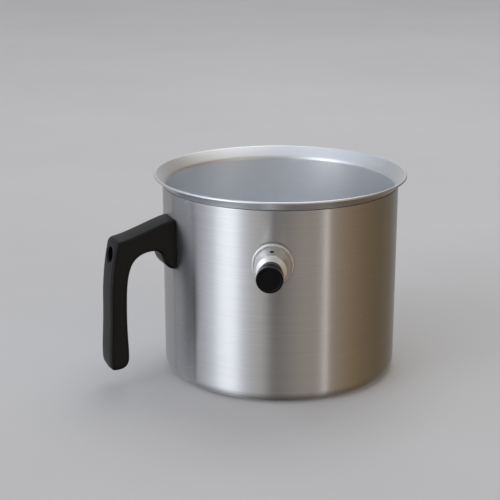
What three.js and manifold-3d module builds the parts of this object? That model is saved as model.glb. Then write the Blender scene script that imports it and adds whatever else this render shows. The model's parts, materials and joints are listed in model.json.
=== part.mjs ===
// A double-walled aluminium melting pot, as used for candle wax: a spun outer shell, an inner
// liner hemmed over its rim, a water filler with a steam vent and a pull-out plug, and a moulded
// side handle screwed to a riveted bracket.
//
// Units are millimetres. +Z is up. The origin is the centre of the underside. The handle points
// along -X; the filler stands on the wall, FILLER_TURN degrees round from +X.

import * as THREE from "three";
import { mergeVertices } from "three/addons/utils/BufferGeometryUtils.js";
import Module from "manifold-3d";

const wasm = await Module();
wasm.setup();

// ---- Driving dimensions ---------------------------------------------------------------------

const FIT = 0.3; // clearance between neighbouring solids
const SHELL = {
  radius: 80, // outside of the straight wall
  sheet: 1.2,
  base: 2.0, // thickness of the base
  corner: 8, // outside radius between base and wall
  top: 129.65, // upper edge, under the liner's flare
};
const RIM = {
  height: 136.6, // top of the pot
  radius: 85.7, // outermost edge of the lip
  bead: 0.9, // radius of the lip's rounded edge
};
const LINER = {
  sheet: 1.2,
  floor: 13.2, // height of the inside floor
  floorRadius: 72.2, // inside radius where the tapered wall leaves the floor's corner
  corner: 14, // inside radius between floor and wall
  bend: 4.5, // inside radius of the turn from the wall to the flare
};
const FILLER_TURN = 242; // degrees from +X to the filler, 62 round from the handle
const FILLER_Z = 95.6; // height of the filler's axis
const DOME = {
  flange: 13.7,
  flangeNear: 1.2, // stations along the filler's axis, from the wall outwards
  flangeFar: 2.4,
  bead: 0.7, // the flange's raised edge, and the groove just inside it
  groove: 0.6,
  coneFoot: 11.6,
  coneTop: 10,
  shoulder: 16,
  mouth: 18,
  mouthRadius: 7.0,
  bore: 4.9,
  wall: 1.2,
  tail: 6.5, // outside radius of the tube that passes through the shell
  tailBore: 5.5,
  curl: 8.6, // radius of the tail's swaged-over end
  curlSheet: 0.6,
  vent: 1.3,
  ventAt: 10.4,
};
const GASKET = { outer: 12.8, inner: 6.9, far: 0.9 };
const PLUG = {
  collar: 6.65,
  collarNear: 18.3,
  headNear: 25.6,
  headFar: 34.4,
  head: 8.35,
  groove: 0.5,
  socket: 4.9, // blind bore that takes the stem
  socketFar: 27,
};
const STEM = {
  radius: 4.5,
  bore: 2.6,
  near: 11.6,
  far: 26.4,
  grooveNear: 14.6, // the groove that holds the seal
  grooveFar: 16.8,
  grooveRadius: 3.6,
};
const SEAL = { centre: 15.7, ring: 4.3, wire: 0.42 };
const HANDLE = {
  halfWidth: 10,
  rounding: 2.4,
  endRadius: 30, // the lower end is also rounded across its width, about this radius
  endCentre: 43.1,
  eye: 5, // radius of the hanging hole
  eyeAt: [122, 92.5], // radial distance and height where it enters the outer face
  eyeTilt: 10, // degrees, falling towards the pot
};
const BRACKET = {
  halfWidth: 7,
  low: 84,
  high: 110,
  sheet: 1.5,
  tongueHalfWidth: 6,
  tongueLow: 99.3,
  tongueHigh: 101.1,
  tongueEnd: 101,
};
const RIVET = {
  shank: 2,
  head: 3.2,
  foot: 3.4, // radius of the head inside the shell
  hole: 2.2,
  heights: { bracket_rivet_lower: 89, bracket_rivet_upper: 106.5 },
};
const SCREW = { at: 96.5, radius: 2, head: 3.6, headLow: 93.7, headHigh: 95.8, end: 104, washerHigh: 96.8 };
const TURNS = { pot: 64, small: 36, tiny: 20 }; // facets round a turned piece

// ---- Tools ----------------------------------------------------------------------------------

const radians = THREE.MathUtils.degToRad;

// Points on a circle arc in a profile, from one angle to another, in degrees.
function arc(x, y, radius, from, to, steps) {
  const points = [];
  for (let i = 0; i <= steps; i++) {
    const angle = radians(from + ((to - from) * i) / steps);
    points.push([x + radius * Math.cos(angle), y + radius * Math.sin(angle)]);
  }
  return points;
}

// A solid of revolution about +Z from a profile of [radius, height], counter-clockwise.
function turned(profile, facets) {
  const points = profile.map(([r, z]) => new THREE.Vector2(Math.max(r, 0), z));
  return solid(new THREE.LatheGeometry(points, facets).rotateX(Math.PI / 2));
}

// The same for a ring, whose profile doesn't touch the axis and closes on itself.
function turnedRing(profile, facets) {
  return turned([...profile, profile[0]], facets);
}

function rod(radius, low, high, facets = TURNS.tiny) {
  return turned([[0, low], [radius, low], [radius, high], [0, high]], facets);
}

function box(low, high) {
  const size = high.map((v, i) => v - low[i]);
  const centre = high.map((v, i) => (v + low[i]) / 2);
  return solid(new THREE.BoxGeometry(...size).translate(...centre));
}

function solid(geometry) {
  const bare = geometry.clone();
  bare.deleteAttribute("normal");
  bare.deleteAttribute("uv");
  const merged = mergeVertices(bare, 1e-4);
  return new wasm.Manifold(
    new wasm.Mesh({
      numProp: 3,
      vertProperties: merged.attributes.position.array,
      triVerts: new Uint32Array(merged.index.array),
    }),
  );
}

function geometryOf(body) {
  const mesh = body.getMesh();
  const positions = new Float32Array(mesh.numVert * 3);
  for (let i = 0; i < mesh.numVert; i++) {
    positions.set(mesh.vertProperties.subarray(i * mesh.numProp, i * mesh.numProp + 3), i * 3);
  }
  const geometry = new THREE.BufferGeometry();
  geometry.setAttribute("position", new THREE.BufferAttribute(positions, 3));
  geometry.setIndex(new THREE.BufferAttribute(new Uint32Array(mesh.triVerts), 1));
  geometry.computeVertexNormals();
  return geometry;
}

// Moves a solid by a three.js matrix.
function moved(body, matrix) {
  return body.transform([...matrix.elements]);
}

// A piece turned about +Z, laid along the filler's own axis: +Z becomes the outward direction,
// and height 0 becomes the outside of the wall.
const toFiller = new THREE.Matrix4()
  .makeRotationZ(radians(FILLER_TURN))
  .multiply(new THREE.Matrix4().makeTranslation(SHELL.radius, 0, FILLER_Z))
  .multiply(new THREE.Matrix4().makeRotationY(Math.PI / 2));

const onFiller = (body) => moved(body, toFiller);

// A piece turned about +Z, laid along -X at a height, with height 0 at the pot's axis.
function towardsHandle(body, height) {
  const lay = new THREE.Matrix4()
    .makeTranslation(0, 0, height)
    .multiply(new THREE.Matrix4().makeRotationY(-Math.PI / 2));
  return moved(body, lay);
}

const toScrew = new THREE.Matrix4().makeTranslation(-SCREW.at, 0, 0);

const wallCylinder = (radius) => rod(radius, -5, RIM.height + 5, TURNS.pot * 2);

// ---- Materials ------------------------------------------------------------------------------

const brushed = new THREE.MeshStandardMaterial({ color: 0xbfc1c4, roughness: 0.32, metalness: 1 });
const satin = new THREE.MeshStandardMaterial({ color: 0xb4b9bf, roughness: 0.45, metalness: 1 });
const turnedMetal = new THREE.MeshStandardMaterial({ color: 0xc9c8c4, roughness: 0.25, metalness: 1 });
const steel = new THREE.MeshStandardMaterial({ color: 0x9fa2a6, roughness: 0.35, metalness: 1 });
const moulded = new THREE.MeshStandardMaterial({ color: 0x151515, roughness: 0.45, metalness: 0 });
const rubber = new THREE.MeshStandardMaterial({ color: 0x2b2a28, roughness: 0.8, metalness: 0 });

// ---- Pot ------------------------------------------------------------------------------------

const rivetHoles = () =>
  Object.values(RIVET.heights).map((z) => towardsHandle(rod(RIVET.hole, 70, 90), z));

const without = (body, cuts) => cuts.reduce((rest, cut) => rest.subtract(cut), body);

function outerShell() {
  const { radius, sheet, base, corner, top } = SHELL;
  const inside = radius - sheet;
  const cornerIn = corner - base;
  const profile = [
    [0, 0],
    ...arc(radius - corner, corner, corner, -90, 0, 5),
    [radius, top],
    [radius - sheet * 0.3, top],
    [radius - sheet * 0.9, top - 1.5],
    [inside, top - 2.2],
    ...arc(inside - cornerIn, base + cornerIn, cornerIn, 0, -90, 4),
    [0, base],
  ];
  const tailHole = onFiller(rod(DOME.tail + FIT, -10, 10, TURNS.small));
  return without(turned(profile, TURNS.pot), [tailHole, ...rivetHoles()]);
}

// The liner's wall as seen from one face of the sheet, from the floor up to the flare.
function linerFace(offset) {
  const { sheet, floor, floorRadius, corner, bend } = LINER;
  const collarRadius = SHELL.radius - SHELL.sheet - FIT - sheet;
  // The flare leaves the bend at 45 degrees and ends tangent to the bead.
  const slope = RIM.radius - RIM.height - RIM.bead * Math.SQRT2;
  const bendZ = collarRadius - slope - bend * (Math.SQRT2 - 1);
  return [
    [0, floor - offset],
    ...arc(floorRadius - corner, floor + corner, corner + offset, -90, 0, 4),
    ...arc(collarRadius + bend, bendZ, bend - offset, 180, 135, 3),
  ];
}

function innerLiner() {
  // The bead is thicker than the sheet, so its arc starts where the flare's underside meets it.
  const { bead } = RIM;
  const start = -45 - THREE.MathUtils.radToDeg(Math.acos((LINER.sheet - bead) / bead));
  const lip = arc(RIM.radius - bead, RIM.height - bead, bead, start, 135, 6);
  return turned([...linerFace(LINER.sheet), ...lip, ...linerFace(0).reverse()], TURNS.pot);
}

// ---- Filler ---------------------------------------------------------------------------------

function fillerDome() {
  const { wall } = DOME;
  const outside = turned(
    [
      [0, DOME.flangeNear],
      [DOME.flange, DOME.flangeNear],
      [DOME.flange, DOME.flangeFar - 0.5],
      [DOME.flange - 0.4, DOME.flangeFar + 0.3],
      [DOME.flange - 1.0, DOME.flangeFar + DOME.bead],
      [DOME.flange - 1.5, DOME.flangeFar + 0.3],
      [DOME.flange - 1.75, DOME.flangeFar - DOME.groove],
      [DOME.coneFoot + 0.1, DOME.flangeFar - DOME.groove],
      [DOME.coneFoot, DOME.flangeFar + 0.5],
      ...arc(DOME.coneTop - 1.2, DOME.shoulder - 1.1, 1.2, 8, 60, 3),
      [DOME.mouthRadius + 0.4, DOME.mouth - 0.3],
      [DOME.mouthRadius, DOME.mouth],
      [0, DOME.mouth],
    ],
    TURNS.small,
  );
  const chamber = turned(
    [
      [0, DOME.flangeFar],
      [DOME.coneFoot - wall, DOME.flangeFar],
      [DOME.coneTop - wall, DOME.shoulder - 3],
      [DOME.bore, DOME.shoulder - 1],
      [DOME.bore, DOME.mouth + 1],
      [0, DOME.mouth + 1],
    ],
    TURNS.small,
  );
  const upwards = new THREE.Matrix4()
    .makeRotationY(-Math.PI / 2)
    .multiply(new THREE.Matrix4().makeTranslation(DOME.ventAt, 0, 0));
  const vent = moved(rod(DOME.vent, 0, 20), upwards);
  const head = onFiller(without(outside, [chamber, vent]));

  // The tail runs through the shell and is swaged over against its inside.
  const curlFar = SHELL.radius - SHELL.sheet - FIT;
  const curl = onFiller(rod(DOME.curl, -6, 0, TURNS.small)).intersect(wallCylinder(curlFar));
  const tail = onFiller(rod(DOME.tail, -6, DOME.flangeNear + 0.5, TURNS.small));
  const passage = onFiller(rod(DOME.tailBore, -8, DOME.flangeFar + 0.5, TURNS.small));
  return head
    .add(curl.add(tail).subtract(wallCylinder(curlFar - DOME.curlSheet)))
    .subtract(passage);
}

function fillerGasket() {
  const ring = turnedRing(
    [
      [GASKET.inner, -4],
      [GASKET.outer, -4],
      [GASKET.outer, GASKET.far],
      [GASKET.inner, GASKET.far],
    ],
    TURNS.small,
  );
  return onFiller(ring).subtract(wallCylinder(SHELL.radius + 0.2));
}

function plugKnob() {
  const { head, headNear, headFar, groove } = PLUG;
  const ridge = (headFar - headNear) / 4;
  const body = turned(
    [
      [0, PLUG.collarNear],
      [PLUG.collar - 0.3, PLUG.collarNear],
      [PLUG.collar, PLUG.collarNear + 0.3],
      [PLUG.collar, headNear - 1],
      [head - 0.5, headNear],
      [head - 0.1, headNear + 0.5],
      [head - 0.1, headNear + ridge],
      [head - groove - 0.1, headNear + ridge * 1.35],
      [head - groove - 0.1, headNear + ridge * 1.65],
      [head, headNear + ridge * 2],
      [head, headFar - 1.2],
      ...arc(head - 1.2, headFar - 1.2, 1.2, 25, 90, 3),
      [head - 2.4, headFar],
      [head - 3, headFar - 0.4],
      [0, headFar - 0.4],
    ],
    TURNS.small,
  );
  return onFiller(body.subtract(rod(PLUG.socket, PLUG.collarNear - 1, PLUG.socketFar, TURNS.small)));
}

function plugStem() {
  const body = turnedRing(
    [
      [STEM.bore, STEM.near],
      [STEM.radius - 0.5, STEM.near],
      [STEM.radius, STEM.near + 0.5],
      [STEM.radius, STEM.grooveNear],
      [STEM.grooveRadius, STEM.grooveNear],
      [STEM.grooveRadius, STEM.grooveFar],
      [STEM.radius, STEM.grooveFar],
      [STEM.radius, STEM.far],
      [STEM.bore, STEM.far],
    ],
    TURNS.small,
  );
  return onFiller(body);
}

function plugSeal() {
  const section = arc(SEAL.ring, SEAL.centre, SEAL.wire, 0, 315, 7);
  return onFiller(turnedRing(section, TURNS.small));
}

// ---- Handle ---------------------------------------------------------------------------------

// The side outline, in radial distance from the pot's axis and height.
function handleOutline() {
  const shape = new THREE.Shape();
  shape.moveTo(74, 113.8);
  shape.lineTo(81, 113.4);
  shape.bezierCurveTo(88, 112, 98, 107.8, 109, 104.4);
  shape.bezierCurveTo(113, 103.2, 115, 102.9, 117, 102.5);
  shape.bezierCurveTo(119.4, 102, 120.5, 100.6, 121, 98.4);
  shape.bezierCurveTo(122.3, 92, 124.8, 80, 125.3, 62);
  shape.bezierCurveTo(125.5, 48, 126.1, 40, 126.6, 31);
  shape.bezierCurveTo(126.8, 28, 126.8, 26, 126.8, 22);
  shape.bezierCurveTo(126.8, 17.5, 126.4, 13.3, 123.2, 13.2);
  shape.bezierCurveTo(118.5, 13, 113.7, 13.6, 113.4, 22);
  shape.bezierCurveTo(113.3, 32, 114.2, 38, 114, 52);
  shape.bezierCurveTo(113.8, 70, 113, 78.5, 110.1, 84.9);
  shape.bezierCurveTo(107.3, 90.9, 101.5, 93.4, 95.5, 93.4);
  shape.bezierCurveTo(91.4, 93.4, 89.4, 91.4, 88.6, 88.4);
  shape.bezierCurveTo(87.6, 84, 85, 80.3, 81, 79.6);
  shape.lineTo(74, 79.6);
  shape.closePath();
  return shape;
}

function handleGrip() {
  const { halfWidth, rounding } = HANDLE;
  const blank = new THREE.ExtrudeGeometry(handleOutline(), {
    depth: 2 * (halfWidth - rounding),
    bevelEnabled: true,
    bevelThickness: rounding,
    bevelSize: rounding * 0.8,
    bevelOffset: -rounding * 0.8,
    bevelSegments: 2,
    curveSegments: 5,
  });
  // The outline's x is the distance from the axis, which runs towards -X here.
  blank.translate(0, 0, -(halfWidth - rounding));
  blank.applyMatrix4(new THREE.Matrix4().makeBasis(
    new THREE.Vector3(-1, 0, 0), new THREE.Vector3(0, 0, 1), new THREE.Vector3(0, 1, 0),
  ));
  const wall = wallCylinder(SHELL.radius + FIT);
  const plate = SHELL.radius + FIT + BRACKET.sheet;
  const socket = box(
    [-(plate + 2.2), -(BRACKET.halfWidth + 0.5), BRACKET.low - 0.5],
    [-70, BRACKET.halfWidth + 0.5, BRACKET.high + 0.3],
  );
  const slot = box(
    [-(BRACKET.tongueEnd + 0.6), -(BRACKET.tongueHalfWidth + 0.4), BRACKET.tongueLow - FIT],
    [-70, BRACKET.tongueHalfWidth + 0.4, BRACKET.tongueHigh + FIT],
  );
  const screwBore = moved(rod(SCREW.radius + 0.3, 80, SCREW.end + 0.5), toScrew);
  const counterbore = moved(rod(SCREW.head + 0.6, 80, SCREW.washerHigh + 0.2), toScrew);
  const { endRadius, endCentre } = HANDLE;
  const roundEnd = towardsHandle(rod(endRadius, 60, 140, TURNS.pot), endCentre);
  const limits = box([-140, -endRadius, endCentre], [-60, endRadius, 130]).add(roundEnd);
  return without(solid(blank).intersect(limits), [wall, socket, slot, screwBore, counterbore, eyeHole()]);
}

function eyeHole() {
  const [r, z] = HANDLE.eyeAt;
  const place = new THREE.Matrix4()
    .makeTranslation(-r, 0, z)
    .multiply(new THREE.Matrix4().makeRotationY(radians(HANDLE.eyeTilt) - Math.PI / 2));
  return moved(rod(HANDLE.eye, -26, 10, TURNS.small), place);
}

function handleBracket() {
  const near = SHELL.radius + FIT;
  const plate = box([-90, -BRACKET.halfWidth, BRACKET.low], [-60, BRACKET.halfWidth, BRACKET.high])
    .intersect(wallCylinder(near + BRACKET.sheet))
    .subtract(wallCylinder(near));
  const tongue = box(
    [-BRACKET.tongueEnd, -BRACKET.tongueHalfWidth, BRACKET.tongueLow],
    [-(near + 0.5), BRACKET.tongueHalfWidth, BRACKET.tongueHigh],
  );
  const screwHole = moved(rod(SCREW.radius + 0.15, 90, 110), toScrew);
  return without(plate.add(tongue), [screwHole, ...rivetHoles()]);
}

function bracketRivet(height) {
  const inside = SHELL.radius - SHELL.sheet - FIT;
  const outside = SHELL.radius + FIT + BRACKET.sheet + 0.2;
  const { shank, head, foot } = RIVET;
  const body = turned(
    [
      [0, inside - 0.55],
      [foot - 1, inside - 0.5],
      [foot, inside - 0.2],
      [foot, inside],
      [shank, inside],
      [shank, outside],
      [head, outside],
      [head, outside + 0.4],
      [head - 1, outside + 1.3],
      [0, outside + 1.5],
    ],
    TURNS.tiny,
  );
  return towardsHandle(body, height);
}

function handleScrew() {
  const body = turned(
    [
      [0, SCREW.headLow],
      [SCREW.head - 0.8, SCREW.headLow],
      [SCREW.head, SCREW.headLow + 0.7],
      [SCREW.head, SCREW.headHigh],
      [SCREW.radius, SCREW.headHigh],
      [SCREW.radius, SCREW.end - 0.6],
      [SCREW.radius - 0.6, SCREW.end],
      [0, SCREW.end],
    ],
    TURNS.tiny,
  );
  const driverSlot = box([-5, -0.5, SCREW.headLow - 1], [5, 0.5, SCREW.headLow + 1]);
  return moved(body.subtract(driverSlot), toScrew);
}

function screwWasher() {
  const low = SCREW.headHigh + 0.15;
  const ring = turnedRing(
    [
      [SCREW.radius + 0.2, low],
      [SCREW.head + 0.3, low],
      [SCREW.head + 0.3, SCREW.washerHigh],
      [SCREW.radius + 0.2, SCREW.washerHigh],
    ],
    TURNS.tiny,
  );
  return moved(ring, toScrew);
}

// ---- Assembly -------------------------------------------------------------------------------

const pot = new THREE.Group();

function add(name, body, material) {
  const mesh = new THREE.Mesh(geometryOf(body), material);
  mesh.name = name;
  pot.add(mesh);
}

add("outer_shell", outerShell(), brushed);
add("inner_liner", innerLiner(), satin);
add("filler_dome", fillerDome(), turnedMetal);
add("filler_gasket", fillerGasket(), rubber);
add("plug_knob", plugKnob(), moulded);
add("plug_stem", plugStem(), turnedMetal);
add("plug_seal", plugSeal(), rubber);
add("handle_grip", handleGrip(), moulded);
add("handle_bracket", handleBracket(), steel);
for (const [name, height] of Object.entries(RIVET.heights)) {
  add(name, bracketRivet(height), turnedMetal);
}
add("handle_screw", handleScrew(), steel);
add("handle_screw_washer", screwWasher(), steel);

export default pot;
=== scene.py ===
# Candle melting pot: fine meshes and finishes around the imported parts.
import json
import math

import bmesh
import bpy
from mathutils import Matrix, Vector
from mathutils.geometry import interpolate_bezier


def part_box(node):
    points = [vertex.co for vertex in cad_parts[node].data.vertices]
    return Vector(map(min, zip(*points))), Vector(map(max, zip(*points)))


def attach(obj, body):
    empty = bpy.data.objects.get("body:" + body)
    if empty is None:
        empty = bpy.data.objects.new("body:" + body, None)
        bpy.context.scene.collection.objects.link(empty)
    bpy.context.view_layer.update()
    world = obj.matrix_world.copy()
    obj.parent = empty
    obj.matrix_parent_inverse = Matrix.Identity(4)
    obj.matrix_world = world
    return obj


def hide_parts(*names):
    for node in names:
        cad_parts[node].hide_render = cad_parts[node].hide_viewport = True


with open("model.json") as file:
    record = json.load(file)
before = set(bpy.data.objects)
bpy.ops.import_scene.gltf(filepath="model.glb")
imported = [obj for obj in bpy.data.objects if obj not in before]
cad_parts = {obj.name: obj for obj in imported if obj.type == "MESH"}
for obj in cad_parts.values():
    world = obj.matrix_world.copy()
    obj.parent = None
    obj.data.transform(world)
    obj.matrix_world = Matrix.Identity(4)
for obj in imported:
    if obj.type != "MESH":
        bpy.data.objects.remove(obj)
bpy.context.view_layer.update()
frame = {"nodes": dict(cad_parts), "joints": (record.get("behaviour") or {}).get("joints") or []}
print("frame loaded:", len(frame["nodes"]), "parts")

mm = 0.001
meshing = {
    "weld": 1e-7,                # metres between points that count as one
    "sharp": 38,                 # degrees: an edge that turns more stays crisp
    "guard": 0.12,               # mm from a fillet's end to the loop that holds it
    "guardMargin": 0.02,
    "sideShare": 0.48,           # how much of a side one fillet may take
    "arcStep": 1.2,              # radians that a fillet of fineness 1 turns in a step
}

# The wall and the filler stand where the CAD and its joint have them
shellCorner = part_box("outer_shell")[1]
wallRadius, wallTop = shellCorner.x / mm, shellCorner.z / mm
plugTwist = next(joint for joint in frame["joints"] if joint["name"] == "plug_twist")


def arcPoints(cx, cy, radius, start, end, steps):
    turns = [math.radians(start + (end - start) * i / steps) for i in range(steps + 1)]
    return [(cx + radius * math.cos(turn), cy + radius * math.sin(turn)) for turn in turns]


def filleted(corners, fineness):
    # corners are (r, z, fillet); each becomes an arc, with a guard point close on both sides
    points = []
    count = len(corners)
    for i, corner in enumerate(corners):
        here = Vector(corner[:2])
        fillet = corner[2] if len(corner) > 2 else 0
        if fillet <= 0 or i in (0, count - 1):
            points.append(tuple(here))
            continue
        before = Vector(corners[i - 1][:2]) - here
        after = Vector(corners[i + 1][:2]) - here
        reachLimit = meshing["sideShare"] * min(before.length, after.length)
        a, b = before.normalized(), after.normalized()
        half = a.angle(b) / 2
        reach = min(fillet / math.tan(half), reachLimit)
        radius = reach * math.tan(half)
        centre = here + (a + b).normalized() * (radius / math.sin(half))
        first, last = here + a * reach, here + b * reach
        spoke = first - centre
        sweep = spoke.angle_signed(last - centre)
        steps = max(2, int(fineness * abs(sweep) / meshing["arcStep"]) + 1)
        slack = min(meshing["guard"], reachLimit - reach + meshing["guardMargin"])
        points.append(tuple(first + a * slack))
        for k in range(steps + 1):
            points.append(tuple(centre + Matrix.Rotation(-sweep * k / steps, 2) @ spoke))
        points.append(tuple(last + b * slack))
    return points


def filletedLoop(corners, fineness):                # a closed outline that has no loose end
    return filleted(corners + corners[:1], fineness)[:-1]


def shadeSmooth(bm):
    limit = math.radians(meshing["sharp"])
    for face in bm.faces:
        face.smooth = True
    for edge in bm.edges:
        edge.smooth = len(edge.link_faces) == 2 and edge.calc_face_angle(0) < limit


def linked(name, data):
    made = bpy.data.objects.new(name, data)
    bpy.context.scene.collection.objects.link(made)
    return made


def finishMesh(bm, name, place=None):
    bmesh.ops.remove_doubles(bm, verts=bm.verts, dist=meshing["weld"])
    bmesh.ops.recalc_face_normals(bm, faces=bm.faces)
    shadeSmooth(bm)
    mesh = bpy.data.meshes.new(name)
    bm.to_mesh(mesh)
    bm.free()
    piece = linked(name, mesh)
    if place is not None:
        piece.matrix_world = place
    return piece


def spun(name, profile, turns, loop=False, place=None):
    # a closed body turned about local Z; profile in mm, either from axis to axis or a closed loop
    bm = bmesh.new()
    rings = []
    for r, z in profile:
        if r < meshing["weld"] / mm:
            rings.append([bm.verts.new((0, 0, z * mm))])
        else:
            rings.append([bm.verts.new((r * mm * math.cos(2 * math.pi * k / turns),
                                        r * mm * math.sin(2 * math.pi * k / turns), z * mm))
                          for k in range(turns)])
    for low, high in zip(rings, rings[1:] + (rings[:1] if loop else [])):
        for k in range(turns):
            n = (k + 1) % turns
            if len(low) == 1:
                bm.faces.new((low[0], high[n], high[k]))
            elif len(high) == 1:
                bm.faces.new((low[k], low[n], high[0]))
            else:
                bm.faces.new((low[k], low[n], high[n], high[k]))
    return finishMesh(bm, name, place)


def rodCutter(radius, low, high, place, turns=96):
    return spun("cutter", [(0, low), (radius, low), (radius, high), (0, high)], turns, place=place)


def boxCutter(low, high):
    bm = bmesh.new()
    bmesh.ops.create_cube(bm, size=1)
    for v in bm.verts:
        v.co = Vector([(low[k] if v.co[k] < 0 else high[k]) * mm for k in range(3)])
    return finishMesh(bm, "cutter")


def cutAway(piece, cutters):
    # boolean cuts, applied; the cutters are thrown away
    for cutter in cutters:
        cut = piece.modifiers.new("cut", "BOOLEAN")
        cut.operation = "DIFFERENCE"
        cut.solver = "EXACT"
        cut.object = cutter
    bpy.context.view_layer.update()
    shaped = bpy.data.meshes.new_from_object(
        piece.evaluated_get(bpy.context.evaluated_depsgraph_get()))
    piece.modifiers.clear()
    piece.data = shaped
    for cutter in cutters:
        bpy.data.objects.remove(cutter)
    bm = bmesh.new()
    bm.from_mesh(shaped)
    shadeSmooth(bm)
    bm.to_mesh(shaped)
    bm.free()


def axisPlace(origin, outward):
    # local Z looks outward, local X straight up where it can
    z = Vector(outward).normalized()
    x = (Vector((0, 0, 1)) - z * z.z).normalized()
    turn = Matrix((x, z.cross(x), z)).transposed().to_4x4()
    return Matrix.Translation(Vector(origin)) @ turn


fillerWay = Vector(plugTwist["axis"]).normalized()
fillerFoot = fillerWay * wallRadius * mm + Vector((0, 0, plugTwist["pos_m"][2]))
fillerPlace = axisPlace(fillerFoot, fillerWay)


def setFinish(piece, finish):
    piece.data.materials.clear()
    piece.data.materials.append(finish)


def standIn(piece, body, node, finish):
    setFinish(piece, finish)
    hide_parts(node)
    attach(piece, body)


def scaled(numbers, factor):
    return tuple(n * factor for n in numbers)


# Thin scuffs in metal: the way they run, how long they are, and how much of the noise shows
scuff = {"way": (0.3, 0.75), "drop": -0.66, "long": 75, "detail": 1.0, "rough": 0.4,
         "from": 0.66, "full": 0.73}


def socketOf(sockets, key):
    if isinstance(key, int):
        return sockets[key]
    return next((s for s in sockets if s.identifier == key), None) or sockets[key]


class Wire:                      # wraps a socket, so that shader maths reads as plain sums
    def __init__(self, look, socket):
        self.look, self.socket = look, socket

    def __add__(self, other): return self.look.maths("ADD", self, other)
    def __radd__(self, other): return self.look.maths("ADD", other, self)
    def __sub__(self, other): return self.look.maths("SUBTRACT", self, other)
    def __mul__(self, other): return self.look.maths("MULTIPLY", self, other)
    def __truediv__(self, other): return self.look.maths("DIVIDE", self, other)


class Look:                      # one material, or the world, and the nodes in it
    def __init__(self, name, surface, world=False):
        self.owner = (bpy.data.worlds if world else bpy.data.materials).new(name)
        self.owner.use_nodes = True
        self.tree = self.owner.node_tree
        self.shader = self.tree.nodes["Background" if world else "Principled BSDF"]
        for socket, value in surface.items():
            self.shader.inputs[socket].default_value = value
        self.spot = self.node("TexCoord", {}, {}, "Generated" if world else "Object")

    def node(self, kind, settings, inputs, out=0):
        made = self.tree.nodes.new("ShaderNode" + kind)
        for key, value in settings.items():
            if key == "stops":
                while len(made.color_ramp.elements) < len(value):
                    made.color_ramp.elements.new(1)
                for stop, (at, shade) in zip(made.color_ramp.elements, value):
                    stop.position = at
                    stop.color = shade + (1,)
            else:
                setattr(made, key, value)
        for key, value in (inputs.items() if isinstance(inputs, dict) else enumerate(inputs)):
            socket = socketOf(made.inputs, key)
            if isinstance(value, Wire):
                self.tree.links.new(value.socket, socket)
            else:
                socket.default_value = value
        return Wire(self, socketOf(made.outputs, out))

    def maths(self, how, a, b):
        return self.node("Math", {"operation": how}, [a, b])

    def vector(self, how, a, b, out=0):
        return self.node("VectorMath", {"operation": how}, [a, b], out)

    def noise(self, grain, detail, rough):              # grain is grains per metre, each way
        if not isinstance(grain, Wire):
            grain = self.vector("MULTIPLY", self.spot, grain)
        return self.node("TexNoise", {}, {"Vector": grain, "Scale": 1.0,
                                          "Detail": detail, "Roughness": rough})

    def along(self, way):                               # how far the spot lies along a direction
        return self.vector("DOT_PRODUCT", self.spot, way, "Value")

    def between(self, value, low, high):                # 0 at low, 1 at high
        return self.node("MapRange", {}, {"Value": value, "From Min": low, "From Max": high})

    def blend(self, factor, a, b):                      # colours, each a wire or three numbers
        a, b = [c if isinstance(c, Wire) else tuple(c) + (1,) for c in (a, b)]
        return self.node("Mix", {"data_type": "RGBA"},
                         {"Factor_Float": factor, "A_Color": a, "B_Color": b}, "Result_Color")

    def shades(self, tone, dark, light, low=0.3, high=0.7):
        return self.blend(self.between(tone, low, high), dark, light)

    def mixed(self, waves, shares):                     # a weighted sum
        parts = [wave * share for wave, share in zip(waves, shares)]
        return sum(parts[1:], parts[0])

    def swung(self, middle, *swings):                   # a value that noise swings both ways
        for wave, swing in swings:
            middle = middle + (wave - 0.5) * swing
        return middle

    def scuffs(self, slope, fine, shift):               # short thin marks, all leaning one way
        sideways = scuff["way"]
        down = self.along(sideways + (slope,)) + shift
        across = self.along(scaled(sideways, slope) + (scuff["drop"],))
        spot = self.node("CombineXYZ", {}, [down * scuff["long"], across * fine, 0.0])
        return self.between(self.noise(spot, scuff["detail"], scuff["rough"]),
                            scuff["from"], scuff["full"])

    def bump(self, height, distance):
        return self.node("Bump", {}, {"Height": height, "Distance": distance, "Strength": 1.0})

    def feed(self, wires):
        for socket, wire in wires.items():
            self.tree.links.new(wire.socket, self.shader.inputs[socket])
        return self.owner


# In each finish, a noise is (grains per metre each way, detail, roughness of the noise)
brushed = {
    "surface": {"Metallic": 1.0, "Anisotropic": 1.0, "Anisotropic Rotation": 0.25},
    "grey": (0.66, 0.66, 0.66), "dark": 0.91, "light": 1.08, "rough": 0.34,
    "hair": ((22, 22, 5200), 2.0, 0.6),                 # fine lines round the wall
    "broad": ((14, 14, 1300), 2.0, 0.55), "band": ((4, 4, 160), 2.0, 0.5),
    "cloud": ((9, 9, 14), 4.0, 0.6), "mix": (0.6, 0.35, 0.05),
    "streakSwing": 0.10, "cloudSwing": 0.08, "relief": (0.5, 0.5), "depth": 0.000005,
    # short scuffs, and a duller strip beside the handle's foot where they gather; the strip's
    # lighter colour is partly scratch wear and partly painted reflection, lightening where the
    # handle shows mirrored in the wall
    "wornReflectionTurn": 192.5, "wornReflectionFrom": 0.0786, "wornReflectionFull": 0.0795, "wornReflectionShare": 0.5,
    "wornReflectionShade": (0.84, 0.86, 0.90), "wornReflectionRough": 0.38,
    "marks": ((1.0, 700, 0.0), (-0.55, 820, 3.0)), "markShade": (0.98, 0.99, 1.0),
    "markShare": 0.10, "markWornReflectionShare": 0.42,
}


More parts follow.
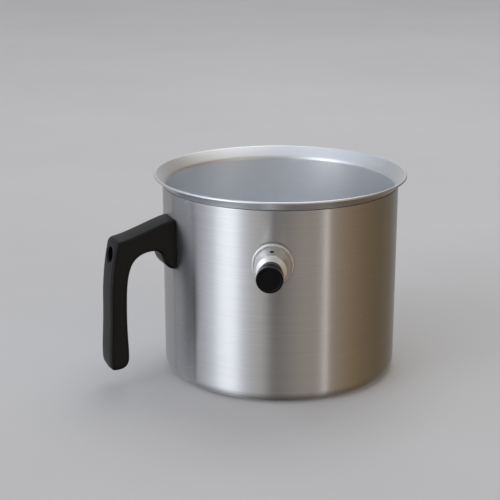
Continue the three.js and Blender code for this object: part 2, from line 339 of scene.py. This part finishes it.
def brushedWallLook():
    f = brushed
    look = Look("brushedWall", f["surface"])
    hair, broad, band, cloud = [look.noise(*f[key]) for key in ("hair", "broad", "band", "cloud")]
    streak = look.mixed((hair, broad, band), f["mix"])
    shade = look.shades(streak, scaled(f["grey"], f["dark"]), scaled(f["grey"], f["light"]))
    # mask of the strip beside the handle: scratch wear plus painted reflection, placed where the
    # handle shows mirrored in the wall
    turn = math.radians(f["wornReflectionTurn"])
    wornReflection = look.between(look.along((math.cos(turn), math.sin(turn), 0)),
                        f["wornReflectionFrom"], f["wornReflectionFull"])
    marks = look.scuffs(*f["marks"][0]) + look.scuffs(*f["marks"][1])
    # painted reflection: the strip is lightened, partly as scratch wear, partly to set the
    # brightness of the handle's mirrored image there
    shade = look.blend(wornReflection * f["wornReflectionShare"], shade, f["wornReflectionShade"])
    colour = look.blend(marks * (f["markShare"] + wornReflection * f["markWornReflectionShare"]), shade, f["markShade"])
    rough = look.swung(f["rough"], (streak, f["streakSwing"]), (cloud, f["cloudSwing"]))
    return look.feed({"Base Color": colour, "Roughness": rough + wornReflection * f["wornReflectionRough"],
                      "Normal": look.bump(look.mixed((hair, broad), f["relief"]), f["depth"])})


satin = {
    "surface": {"Metallic": 1.0, "Anisotropic": 0.3, "Anisotropic Rotation": 0.25},
    "dark": (0.865, 0.89, 0.93), "light": (0.92, 0.945, 0.98), "rough": 0.40,
    "fine": ((40, 40, 2600), 2.0, 0.6), "cloud": ((22, 22, 22), 4.0, 0.6),
    "speck": ((900, 900, 900), 2.0, 0.5), "mix": (0.4, 0.4, 0.2), "toneRange": (0.35, 0.65),
    "cloudSwing": 0.14, "fineSwing": 0.1, "relief": (0.6, 0.4), "depth": 0.000006,
}


def satinLinerLook():
    f = satin
    look = Look("satinLiner", f["surface"])
    fine, cloud, speck = [look.noise(*f[key]) for key in ("fine", "cloud", "speck")]
    tone = look.mixed((fine, cloud, speck), f["mix"])
    colour = look.shades(tone, f["dark"], f["light"], *f["toneRange"])
    rough = look.swung(f["rough"], (cloud, f["cloudSwing"]), (fine, f["fineSwing"]))
    return look.feed({"Base Color": colour, "Roughness": rough,
                      "Normal": look.bump(look.mixed((fine, speck), f["relief"]), f["depth"])})


turned = {
    "surface": {"Metallic": 1.0, "Anisotropic": 0.35, "Anisotropic Rotation": 0.25},
    "dark": 0.88, "light": 1.1, "depth": 0.000006,
    "ring": ((140, 140, 5000), 2.0, 0.55), "cloud": ((120, 120, 120), 3.0, 0.6),
    "mix": (0.6, 0.4), "cloudSwing": 0.16, "ringSwing": 0.08,
    # painted shade inside the little air hole: how far past its radius the painted dark goes, in mm
    "holePaintedShade": (0.05, 0.045, 0.04), "holeFrom": 0.02, "holeEdge": 0.12, "holeBack": 10,
}


def turnedLook(name, grey, rough, hole=None):
    # local Z is the axis it was turned on; hole is (radius, distance out) in mm, and gets painted
    # shade inside
    f = turned
    look = Look(name, f["surface"])
    ring, cloud = look.noise(*f["ring"]), look.noise(*f["cloud"])
    colour = look.shades(look.mixed((ring, cloud), f["mix"]), scaled(grey, f["dark"]),
                         scaled(grey, f["light"]))
    if hole:
        radius, at = hole
        off = look.vector("SUBTRACT", look.spot, (0, 0, at * mm))
        flat = look.vector("MULTIPLY", off, (0, 1, 1))
        away = look.node("VectorMath", {"operation": "LENGTH"}, [flat], "Value")
        below = look.between(look.along((1, 0, 0)), 0.0, -mm)       # 1 on the lower half
        edge = look.between(away + below * (f["holeBack"] * mm),
                            (radius + f["holeFrom"]) * mm, (radius + f["holeEdge"]) * mm)
        # painted shade: the air hole's wall and rim are coloured dark
        colour = look.blend(edge, f["holePaintedShade"], colour)
    return look.feed({"Base Color": colour,
                      "Roughness": look.swung(rough, (cloud, f["cloudSwing"]),
                                              (ring, f["ringSwing"])),
                      "Normal": look.bump(ring, f["depth"])})


plated = {
    "surface": {"Metallic": 1.0},
    "dark": (0.42, 0.42, 0.43), "light": (0.56, 0.56, 0.555), "rough": 0.34, "depth": 0.000006,
    "grain": ((700, 700, 700), 3.0, 0.6), "cloud": ((90, 90, 90), 3.0, 0.6), "grainSwing": 0.2,
}


def platedSteelLook():
    f = plated
    look = Look("platedSteel", f["surface"])
    grain, cloud = look.noise(*f["grain"]), look.noise(*f["cloud"])
    return look.feed({"Base Color": look.shades(cloud, f["dark"], f["light"]),
                      "Roughness": look.swung(f["rough"], (grain, f["grainSwing"])),
                      "Normal": look.bump(grain, f["depth"])})


moulded = {
    "dark": (0.0030, 0.0030, 0.0032), "light": (0.0055, 0.0055, 0.0057), "depth": 0.000014,
    "grain": ((1500, 1500, 1500), 2.0, 0.5), "cloud": ((55, 55, 40), 4.0, 0.6),
    "cloudSwing": 0.16, "grainSwing": 0.1, "relief": (0.6, 0.4),
    "dust": ((2400, 2400, 2400), 1.0, 0.5), "dustFrom": 0.70, "dustFull": 0.78,
    "dustShade": (0.16, 0.155, 0.15), "dustShare": 0.12,
}


def mouldedLook(name, rough, shine):
    f = moulded
    look = Look(name, {"Specular IOR Level": shine})
    grain, cloud = look.noise(*f["grain"]), look.noise(*f["cloud"])
    dust = look.between(look.noise(*f["dust"]), f["dustFrom"], f["dustFull"])
    colour = look.blend(dust * f["dustShare"], look.shades(cloud, f["dark"], f["light"]),
                        f["dustShade"])
    return look.feed({"Base Color": colour,
                      "Roughness": look.swung(rough, (cloud, f["cloudSwing"]),
                                              (grain, f["grainSwing"])),
                      "Normal": look.bump(look.mixed((grain, cloud), f["relief"]), f["depth"])})


rubber = {
    "surface": {"Specular IOR Level": 0.4},
    "dark": (0.028, 0.027, 0.026), "light": (0.05, 0.049, 0.047), "rough": 0.68,
    "depth": 0.00002, "grain": ((1200, 1200, 1200), 3.0, 0.6), "grainSwing": 0.2,
}


def sealRubberLook():
    f = rubber
    look = Look("sealRubber", f["surface"])
    grain = look.noise(*f["grain"])
    return look.feed({"Base Color": look.shades(grain, f["dark"], f["light"]),
                      "Roughness": look.swung(f["rough"], (grain, f["grainSwing"])),
                      "Normal": look.bump(grain, f["depth"])})


brushedWall = brushedWallLook()
satinLiner = satinLinerLook()
turnedMetal = turnedLook("turnedMetal", (0.84, 0.84, 0.83), 0.38)
rivetMetal = turnedLook("rivetMetal", (0.6, 0.6, 0.6), 0.36)
platedSteel = platedSteelLook()
blackMoulding = mouldedLook("blackMoulding", 0.34, 0.24)
plugMoulding = mouldedLook("plugMoulding", 0.24, 0.17)
sealRubber = sealRubberLook()
print("finishes made")


wallShape = {
    "sheet": 1.2, "base": 2.0, "corner": 8, "edge": 0.4, "turns": 288, "cornerSteps": 20,
    "baseRings": (0, 30, 60), "rings": (8.4, 30, 60, 84.6, 93.2, 100.2, 103.6, 110.2, 120, 128.9),
    "insideEdge": ((0.12, 1.5), (0, 2.2)), "insideRings": (60, 9), "insideBase": 40,
    "edgeSteps": 5,
    "fillerHole": (6.8, -10, 10), "rivetHole": (2.2, 70, 90), "rivetsAt": (89, 106.5),
}


def outerWall():
    s = wallShape
    inside = wallRadius - s["sheet"]
    insideCorner = s["corner"] - s["base"]
    profile = [(r, 0) for r in s["baseRings"]]
    profile += arcPoints(wallRadius - s["corner"], s["corner"], s["corner"], -90, 0,
                         s["cornerSteps"])
    profile += [(wallRadius, z) for z in s["rings"]]
    profile += arcPoints(wallRadius - s["edge"], wallTop - s["edge"], s["edge"], 0, 90,
                         s["edgeSteps"])
    profile += [(inside + out, wallTop - down) for out, down in s["insideEdge"]]
    profile += [(inside, z) for z in s["insideRings"]]
    profile += arcPoints(inside - insideCorner, s["base"] + insideCorner, insideCorner, 0, -90,
                         s["cornerSteps"] // 2)
    profile += [(s["insideBase"], s["base"]), (0, s["base"])]
    wall = spun("outerWall", profile, s["turns"])
    holes = [rodCutter(*s["fillerHole"], fillerPlace)]
    for z in s["rivetsAt"]:
        holes.append(rodCutter(*s["rivetHole"], axisPlace((0, 0, z * mm), (-1, 0, 0))))
    cutAway(wall, holes)
    standIn(wall, "pot", "outer_shell", brushedWall)


bowlShape = {
    "sheet": 1.2, "rimHeight": 136.6, "rimRadius": 85.7, "bead": 0.9, "lipSteps": 22,
    "collar": 77.3, "bend": 4.5, "bendSteps": 12,       # inside radius under the flared rim
    "floor": 13.2, "floorRadius": 72.2, "corner": 14, "cornerSteps": 20, "floorRings": (0, 20, 40),
    "rings": (0.004, 0.2, 0.4, 0.6, 0.8, 0.92, 0.996), "turns": 288,
}


def bowlFace(offset):
    # one face of the sheet, from the middle of the floor up to the flare
    s = bowlShape
    flare = s["rimRadius"] - s["rimHeight"] - s["bead"] * math.sqrt(2)
    bendZ = s["collar"] - flare - s["bend"] * (math.sqrt(2) - 1)
    cornerZ = s["floor"] + s["corner"]
    points = [(r, s["floor"] - offset) for r in s["floorRings"]]
    points += arcPoints(s["floorRadius"] - s["corner"], cornerZ, s["corner"] + offset, -90, 0,
                        s["cornerSteps"])
    points += [(s["floorRadius"] + offset + t * (s["collar"] - s["floorRadius"]),
                cornerZ + t * (bendZ - cornerZ)) for t in s["rings"]]
    points += arcPoints(s["collar"] + s["bend"], bendZ, s["bend"] - offset, 180, 135,
                        s["bendSteps"])
    return points


def innerBowl():
    s = bowlShape
    start = -45 - math.degrees(math.acos((s["sheet"] - s["bead"]) / s["bead"]))
    lip = arcPoints(s["rimRadius"] - s["bead"], s["rimHeight"] - s["bead"], s["bead"], start, 135,
                    s["lipSteps"])
    bowl = spun("innerBowl", bowlFace(s["sheet"]) + lip + bowlFace(0)[::-1], s["turns"])
    standIn(bowl, "pot", "inner_liner", satinLiner)


outerWall()
innerBowl()
print("walls made")


fillerShape = {
    # closed outline: radius, distance out from the wall, fillet
    "outline": [
        (13.75, 1.1, 0.1), (13.75, 1.8, 0.3),                       # flange
        (13.3, 2.6, 0.7), (12.7, 3.0, 0.4), (12.25, 2.6, 0.25),     # its raised bead
        (11.95, 1.8, 0.2), (11.7, 1.8, 0.15),                       # groove inside the bead
        (11.6, 2.9, 0.4), (11.1, 9.2, 6), (10.0, 15.9, 1.1),        # cone
        (7.3, 17.75, 0.5), (7.0, 18, 0.15), (4.9, 18, 0.35),        # mouth
        (4.9, 14.9, 0.3), (8.7, 12.8, 0.6), (10.4, 2.6, 0.5),       # hollow inside the cone
        (5.5, 2.4, 0.3), (5.5, -2.4, 0.1),                          # tube through the wall
        (8.4, -2.4, 0.2), (8.4, -1.95, 0.2), (6.5, -1.95, 0.1),     # its rolled end
        (6.5, 1.1, 0.1),
    ],
    "fineness": 5, "turns": 144,
    "vent": 1.3, "ventAt": 10.4, "ventReach": 20, "ventTurns": 40,
}
# the dome's air hole gets painted shade from this finish
domeMetal = turnedLook("domeMetal", (0.84, 0.84, 0.83), 0.38,
                       (fillerShape["vent"], fillerShape["ventAt"]))


def filler():
    s = fillerShape
    dome = spun("fillerDome", filletedLoop(s["outline"], s["fineness"]), s["turns"], loop=True,
                place=fillerPlace)
    ventPlace = (fillerPlace @ Matrix.Translation((0, 0, s["ventAt"] * mm))
                 @ Matrix.Rotation(math.radians(90), 4, "Y"))
    cutAway(dome, [rodCutter(s["vent"], 0, s["ventReach"], ventPlace, s["ventTurns"])])
    standIn(dome, "pot", "filler_dome", domeMetal)


sealShape = {"inner": 6.9, "outer": 12.8, "front": 0.9, "edge": 0.25, "edgeShare": 0.6,
             "gap": 0.2, "turns": 96}


def saddleSeal():
    # a flat ring in front, curved to the wall behind
    s = sealShape
    section = ((s["inner"], 1), (s["outer"] - s["edge"], 1), (s["outer"], s["edgeShare"]),
               (s["outer"], 0), (s["inner"], 0))        # radius, and 1 at the front
    bm = bmesh.new()
    rows = []
    for k in range(s["turns"]):
        a = 2 * math.pi * k / s["turns"]
        row = []
        for radius, share in section:
            x, y = radius * math.cos(a), radius * math.sin(a)
            back = math.sqrt((wallRadius + s["gap"]) ** 2 - y * y) - wallRadius
            out = back + (s["front"] - back) * share
            row.append(bm.verts.new((x * mm, y * mm, out * mm)))
        rows.append(row)
    for one, two in zip(rows, rows[1:] + rows[:1]):
        for i in range(len(section)):
            j = (i + 1) % len(section)
            bm.faces.new((one[i], one[j], two[j], two[i]))
    seal = finishMesh(bm, "fillerSeal", fillerPlace)
    standIn(seal, "pot", "filler_gasket", sealRubber)


plugShape = {
    # outlines: radius, distance out from the wall, fillet
    "knob": [
        (0, 27), (4.9, 27, 0.2), (4.9, 18.3, 0.2),                      # socket for the core
        (6.65, 18.3, 0.35), (6.65, 24.6, 0.3), (7.75, 25.2, 0.3),       # neck
        (8.2, 25.7, 0.3), (8.2, 27.7, 0.3), (7.5, 28.2, 0.2),           # ridge
        (7.5, 29.4, 0.2), (8.35, 29.9, 0.3), (8.35, 33.7, 0.3),         # groove and head
        (7.95, 34.4, 0.3), (7.1, 34.4, 0.25), (6.6, 33.9, 0.25), (0, 33.9),
    ],
    "core": [
        (2.6, 11.6, 0.1), (4.5, 11.6, 0.45), (4.5, 14.6, 0.1), (3.6, 14.6, 0.1),
        (3.6, 16.8, 0.1), (4.5, 16.8, 0.1), (4.5, 26.4, 0.15), (2.6, 26.4, 0.1),
    ],
    "ring": (4.3, 15.7, 0.42), "ringSteps": 24,         # radius, distance out, thickness / 2
    "knobFineness": 5, "coreFineness": 4, "knobTurns": 120, "turns": 96,
}


def plug():
    s = plugShape
    knob = spun("plugKnob", filleted(s["knob"], s["knobFineness"]), s["knobTurns"],
                place=fillerPlace)
    standIn(knob, "plug", "plug_knob", plugMoulding)
    core = spun("plugStem", filletedLoop(s["core"], s["coreFineness"]), s["turns"], loop=True,
                place=fillerPlace)
    standIn(core, "plug", "plug_stem", turnedMetal)
    section = arcPoints(*s["ring"], 0, 360, s["ringSteps"])[:-1]
    ring = spun("plugRing", section, s["turns"], loop=True, place=fillerPlace)
    standIn(ring, "plug_carrier", "plug_seal", sealRubber)


filler()
saddleSeal()
plug()
print("filler made")


grip = {
    "half": 10, "round": 2.4, "steps": 8,               # half its width, and its side edges
    "endRadius": 30, "endFrom": 26, "endTo": 13,        # the lower end, crowned across its width
    # side outline: distance from the pot's axis and height, as joined Bezier arcs
    "start": (74, 113.8),
    "arcs": [
        ((81, 113.4),),
        ((88, 112), (98, 107.8), (109, 104.4)),
        ((113, 103.2), (115, 102.9), (117, 102.5)),
        ((119.4, 102), (120.5, 100.6), (121, 98.4)),
        ((122.3, 92), (124.8, 80), (125.3, 62)),
        ((125.5, 48), (126.1, 40), (126.6, 31)),
        ((126.8, 28), (126.8, 26), (126.8, 22)),
        ((126.8, 17.5), (126.4, 13.3), (123.2, 13.2)),
        ((118.5, 13), (113.7, 13.6), (113.4, 22)),
        ((113.3, 32), (114.2, 38), (114, 52)),
        ((113.8, 70), (113, 78.5), (110.1, 84.9)),
        ((107.3, 90.9), (101.5, 93.4), (95.5, 93.4)),
        ((91.4, 93.4), (89.4, 91.4), (88.6, 88.4)),
        ((87.6, 84), (85, 80.3), (81, 79.6)),
        ((74, 79.6),),
    ],
    "arcSteps": 8, "arcStep": 0.9, "closest": 0.05,     # points per arc, and mm between them
    "eye": 5, "eyeAt": (122, 92.5), "eyeTilt": 10, "eyeDepth": 26,      # hanging hole
    "eyeRound": 0.9, "eyeMouth": 1.2, "eyeClear": 8, "eyeSteps": 6,
    "eyeTurns": 96, "wallCut": (-5, 150), "wallGap": 0.3, "wallTurns": 512,
    "screwAt": 96.5, "screwHole": (2.3, 80, 104.5, 48), "screwHead": (4.2, 80, 97, 64),
    "bracketPocket": ((-84.0, -7.5, 83.5), (-70, 7.5, 110.3)),
    "tongueSlot": ((-101.6, -6.4, 99.0), (-70, 6.4, 101.4)),
}


def outlinePoints():
    here = Vector(grip["start"]).to_3d()
    points = [here]
    for arc in grip["arcs"]:
        ends = [Vector(c).to_3d() for c in arc]
        steps = grip["arcSteps"]
        if len(ends) == 1:
            points += [here.lerp(ends[0], i / steps) for i in range(1, steps + 1)]
        else:
            length = sum((b - a).length for a, b in zip([here] + ends, ends))
            steps = max(steps, int(length / grip["arcStep"]))
            points += interpolate_bezier(here, *ends, steps + 1)[1:]
        here = ends[-1]
    clean = [points[0]]
    for point in points[1:]:
        if (point - clean[-1]).length > grip["closest"]:
            clean.append(point)
    return clean


def gripSolid():
    outline = outlinePoints()
    count = len(outline)
    inward = []
    for i in range(count):
        along = (outline[(i + 1) % count] - outline[i - 1]).normalized()
        inward.append(Vector((along.y, -along.x, 0)))          # the outline runs clockwise here
    half, rounding, endRadius = grip["half"], grip["round"], grip["endRadius"]
    levels = [(t / grip["steps"]) * math.pi / 2 for t in range(grip["steps"] + 1)]
    sides = [(-1, a) for a in reversed(levels)] + [(0, 0.0)] + [(1, a) for a in levels]
    bm = bmesh.new()
    rings = []
    for side, a in sides:
        y = side * (half - rounding + rounding * math.sin(a))
        inset = rounding * (1 - math.cos(a))
        lift = endRadius - math.sqrt(endRadius ** 2 - y * y)   # crowns the lower end
        ring = []
        for point, way in zip(outline, inward):
            q = point + way * inset
            t = min(1, max(0, (grip["endFrom"] - q.y) / (grip["endFrom"] - grip["endTo"])))
            z = q.y + lift * t * t * (3 - 2 * t)
            ring.append(bm.verts.new((-q.x * mm, y * mm, z * mm)))
        rings.append(ring)
    for one, two in zip(rings, rings[1:]):
        for i in range(count):
            j = (i + 1) % count
            bm.faces.new((one[i], one[j], two[j], two[i]))
    bm.faces.new(rings[0][::-1])
    bm.faces.new(rings[-1])
    return finishMesh(bm, "handleGrip")


def eyeCutter():
    # the hanging hole, flared round its mouth
    r, z = grip["eyeAt"]
    tilt = math.radians(grip["eyeTilt"])
    eyePlace = axisPlace((-r * mm, 0, z * mm), (-math.cos(tilt), 0, math.sin(tilt)))
    eye, rounding, steps = grip["eye"], grip["eyeRound"], grip["eyeSteps"]
    profile = [(0, -grip["eyeDepth"]), (eye, -grip["eyeDepth"]), (eye, -rounding)]
    for k in range(1, steps + 1):
        a = k / steps * math.pi / 2
        profile.append((eye + rounding * (1 - math.cos(a)), -rounding + rounding * math.sin(a)))
    profile += [(eye + grip["eyeMouth"], grip["eyeClear"]), (0, grip["eyeClear"])]
    return spun("cutter", profile, grip["eyeTurns"], place=eyePlace)


def handle():
    body = gripSolid()
    screwPlace = Matrix.Translation((-grip["screwAt"] * mm, 0, 0))
    cutters = [eyeCutter(), rodCutter(wallRadius + grip["wallGap"], *grip["wallCut"],
                                      Matrix.Identity(4), grip["wallTurns"])]
    for radius, low, high, turns in (grip["screwHole"], grip["screwHead"]):
        cutters.append(rodCutter(radius, low, high, screwPlace, turns))
    cutters += [boxCutter(*grip["bracketPocket"]), boxCutter(*grip["tongueSlot"])]
    cutAway(body, cutters)
    standIn(body, "pot", "handle_grip", blackMoulding)


hardware = {                     # CAD parts that keep their shape
    "handle_bracket": platedSteel, "handle_screw": platedSteel,
    "handle_screw_washer": platedSteel, "bracket_rivet_lower": rivetMetal,
    "bracket_rivet_upper": rivetMetal,
}

handle()
for node, finish in hardware.items():
    setFinish(frame["nodes"][node], finish)
print("handle made")


floorSheet = {
    "size": 6, "squares": 40, "drop": 0.0004, "cloud": ((3, 3, 3), 3.0, 0.6),
    "dark": (0.74, 0.74, 0.75), "light": (0.78, 0.78, 0.79),
    "surface": {"Roughness": 0.75, "Specular IOR Level": 0.25},
}


def layFloor():
    look = Look("paleFloor", floorSheet["surface"])
    cloud = look.noise(*floorSheet["cloud"])
    finish = look.feed({"Base Color": look.shades(cloud, floorSheet["dark"], floorSheet["light"])})
    bm = bmesh.new()
    squares = floorSheet["squares"]
    bmesh.ops.create_grid(bm, x_segments=squares, y_segments=squares, size=floorSheet["size"])
    floor = finishMesh(bm, "floor")
    floor.location.z = -floorSheet["drop"]
    floor.visible_glossy = False                # so the metal shows the room round the pot
    floor.data.materials.append(finish)


cameraSet = {"at": (-0.3463, -0.7425, 0.3257), "tilt": 73.35, "turn": -23.57,
             "lens": 88.92, "sensor": 36, "nearest": 0.01}
cameraTurn = math.atan2(cameraSet["at"][1], cameraSet["at"][0])


def setCamera():
    data = bpy.data.cameras.new("camera")
    data.lens = cameraSet["lens"]
    data.sensor_width = cameraSet["sensor"]
    data.clip_start = cameraSet["nearest"]
    camera = linked("camera", data)
    camera.location = cameraSet["at"]
    camera.rotation_euler = (math.radians(cameraSet["tilt"]), 0, math.radians(cameraSet["turn"]))
    bpy.context.scene.camera = camera


# Angles here are degrees round the pot from the camera's side, positive to the right
room = {
    # a soft room: window side to the left of the camera, dim warm side to the right
    "walls": [
        (-180, (0.60, 0.61, 0.63)), (-154, (0.36, 0.355, 0.36)), (-136, (0.36, 0.36, 0.37)),
        (-122, (0.35, 0.36, 0.38)), (-100, (0.50, 0.50, 0.515)), (-82, (0.58, 0.59, 0.645)),
        (-67, (0.96, 1.00, 1.10)), (-54, (1.50, 1.56, 1.66)), (-45, (1.42, 1.47, 1.58)),
        (-38, (0.96, 0.99, 1.08)), (-27, (0.68, 0.68, 0.69)), (-17, (0.62, 0.60, 0.585)),
        (-7, (0.27, 0.255, 0.25)), (0, (0.26, 0.245, 0.235)), (10, (0.33, 0.30, 0.28)),
        (22, (0.43, 0.385, 0.345)), (36, (0.43, 0.375, 0.325)), (43.3, (0.46, 0.40, 0.36)),
        (45.5, (2.0, 1.96, 1.90)), (47.7, (0.46, 0.40, 0.33)), (60, (0.36, 0.29, 0.21)),
        (75, (0.30, 0.21, 0.125)), (92, (0.215, 0.155, 0.095)), (112, (0.165, 0.125, 0.075)),
        (134, (0.18, 0.145, 0.11)), (158, (0.30, 0.29, 0.28)), (180, (0.60, 0.61, 0.63)),
    ],
    "ground": (0.05, 0.042, 0.036), "groundFrom": -0.92, "groundTo": -0.42,
    "ceilingLeft": (0.61, 0.645, 0.70), "ceilingRight": (0.40, 0.385, 0.365),
    "ceilingSpread": 0.6, "ceilingFrom": 0.45, "ceilingTo": 0.9,
}
lights = {
    "leftWindow": {"turn": -50, "height": 0.75, "distance": 1.9, "size": (0.9, 1.5),
                   "power": 3, "colour": (0.93, 0.97, 1.0)},
    "overhead": {"turn": 160, "height": 1.9, "distance": 0.9, "size": (1.2, 1.2),
                 "power": 7, "colour": (1.0, 1.0, 1.0)},
}
lightTarget = (0, 0, 0.08)


def makeRoom():
    look = Look("studio", {"Strength": 1.0}, world=True)
    ahead = look.along((math.cos(cameraTurn), math.sin(cameraTurn), 0))
    aside = look.along((-math.sin(cameraTurn), math.cos(cameraTurn), 0))
    around = look.maths("ARCTAN2", aside, ahead) / (2 * math.pi) + 0.5
    stops = [(turn / 360 + 0.5, shade) for turn, shade in room["walls"]]
    walls = look.node("ValToRGB", {"stops": stops}, [around])
    up = look.along((0, 0, 1))
    lower = look.shades(up, room["ground"], walls, room["groundFrom"], room["groundTo"])
    ceiling = look.shades(aside, room["ceilingLeft"], room["ceilingRight"],
                          -room["ceilingSpread"], room["ceilingSpread"])
    sky = look.shades(up, lower, ceiling, room["ceilingFrom"], room["ceilingTo"])
    bpy.context.scene.world = look.feed({"Color": sky})
    bpy.context.scene.view_settings.view_transform = "Standard"


def hangLights():
    for name, light in lights.items():
        data = bpy.data.lights.new(name, "AREA")
        data.shape = "RECTANGLE"
        data.size, data.size_y = light["size"]
        data.energy = light["power"]
        data.color = light["colour"]
        lamp = linked(name, data)
        turn = cameraTurn + math.radians(light["turn"])
        lamp.location = Vector((math.cos(turn) * light["distance"],
                                math.sin(turn) * light["distance"], light["height"]))
        aim = Vector(lightTarget) - lamp.location
        lamp.rotation_euler = aim.to_track_quat("-Z", "Y").to_euler()


layFloor()
makeRoom()
hangLights()
setCamera()
print("stage and camera ready")
